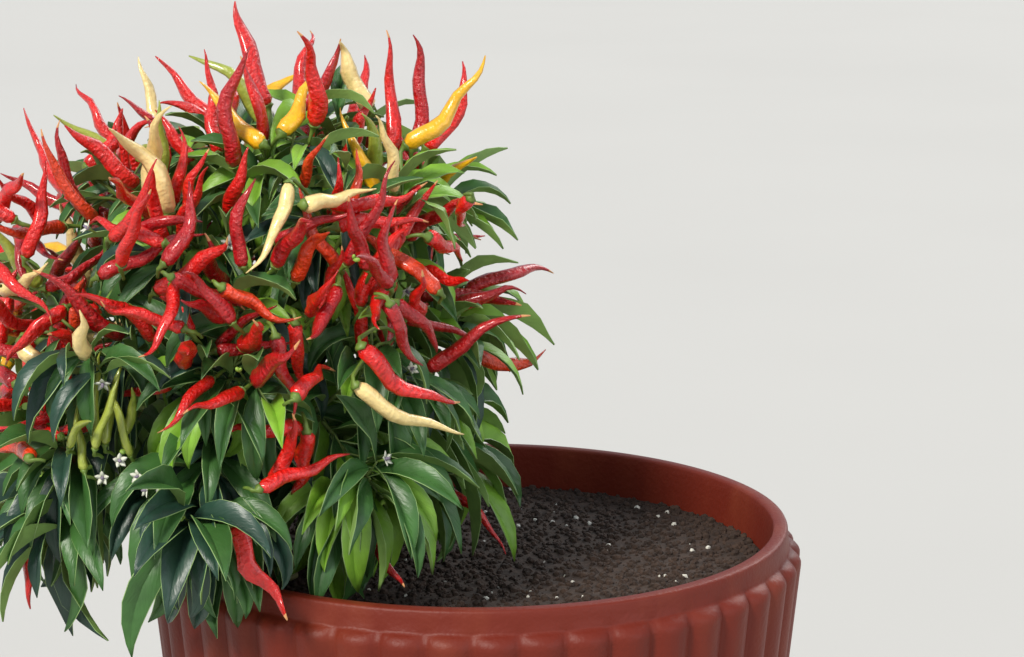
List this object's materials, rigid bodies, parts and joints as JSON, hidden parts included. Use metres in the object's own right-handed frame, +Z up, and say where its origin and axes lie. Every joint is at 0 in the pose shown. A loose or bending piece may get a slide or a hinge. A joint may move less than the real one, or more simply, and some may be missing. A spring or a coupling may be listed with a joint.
{
  "type": "potted chilli pepper plant",
  "caption": "Bushy ornamental chilli pepper plant with upright slender red, yellow and cream fruits, near one side of a round fluted terracotta pot filled with soil.",
  "frame": {"origin": "the middle of the pot's flat underside, where it stands", "axes": "+Z up; +X to the right and +Y away from a viewer who has the plant at the left of the pot, as in the picture"},
  "size_m": [0.4825, 0.4024, 0.5911],
  "materials": {
    "terracotta": "matt fired clay, reddish brown",
    "soil": "moist crumbly potting soil",
    "bark": "green-brown woody stem, fine lengthwise ribs",
    "foliage": "smooth dark green leaf, satin"
  },
  "bodies": {
    "root": {"pot": "terracotta", "soil": "soil", "main_stem": "bark", "leader_bough": "bark", "primary_bough_1": "bark", "primary_bough_2": "bark", "primary_bough_3": "bark", "primary_bough_4": "bark", "rising_bough_1": "bark", "rising_bough_2": "bark", "rising_bough_3": "bark", "rising_bough_4": "bark", "side_bough_1": "bark", "side_bough_2": "bark", "side_bough_3": "bark", "side_bough_4": "bark", "side_bough_5": "bark", "side_bough_6": "bark", "side_bough_7": "bark", "side_bough_8": "bark", "foliage_top_1": "foliage", "foliage_top_2": "foliage", "foliage_top_3": "foliage", "foliage_upper_1": "foliage", "foliage_upper_2": "foliage", "foliage_upper_3": "foliage", "foliage_upper_4": "foliage", "foliage_upper_5": "foliage", "foliage_upper_6": "foliage", "foliage_upper_7": "foliage", "foliage_upper_8": "foliage", "foliage_middle_1": "foliage", "foliage_middle_2": "foliage", "foliage_middle_3": "foliage", "foliage_middle_4": "foliage", "foliage_middle_5": "foliage", "foliage_middle_6": "foliage", "foliage_middle_7": "foliage", "foliage_middle_8": "foliage", "foliage_lower_1": "foliage", "foliage_lower_2": "foliage", "foliage_lower_3": "foliage", "foliage_lower_4": "foliage", "foliage_lower_5": "foliage", "foliage_lower_6": "foliage", "foliage_lower_7": "foliage", "foliage_lower_8": "foliage"}
  },
  "joints": []
}
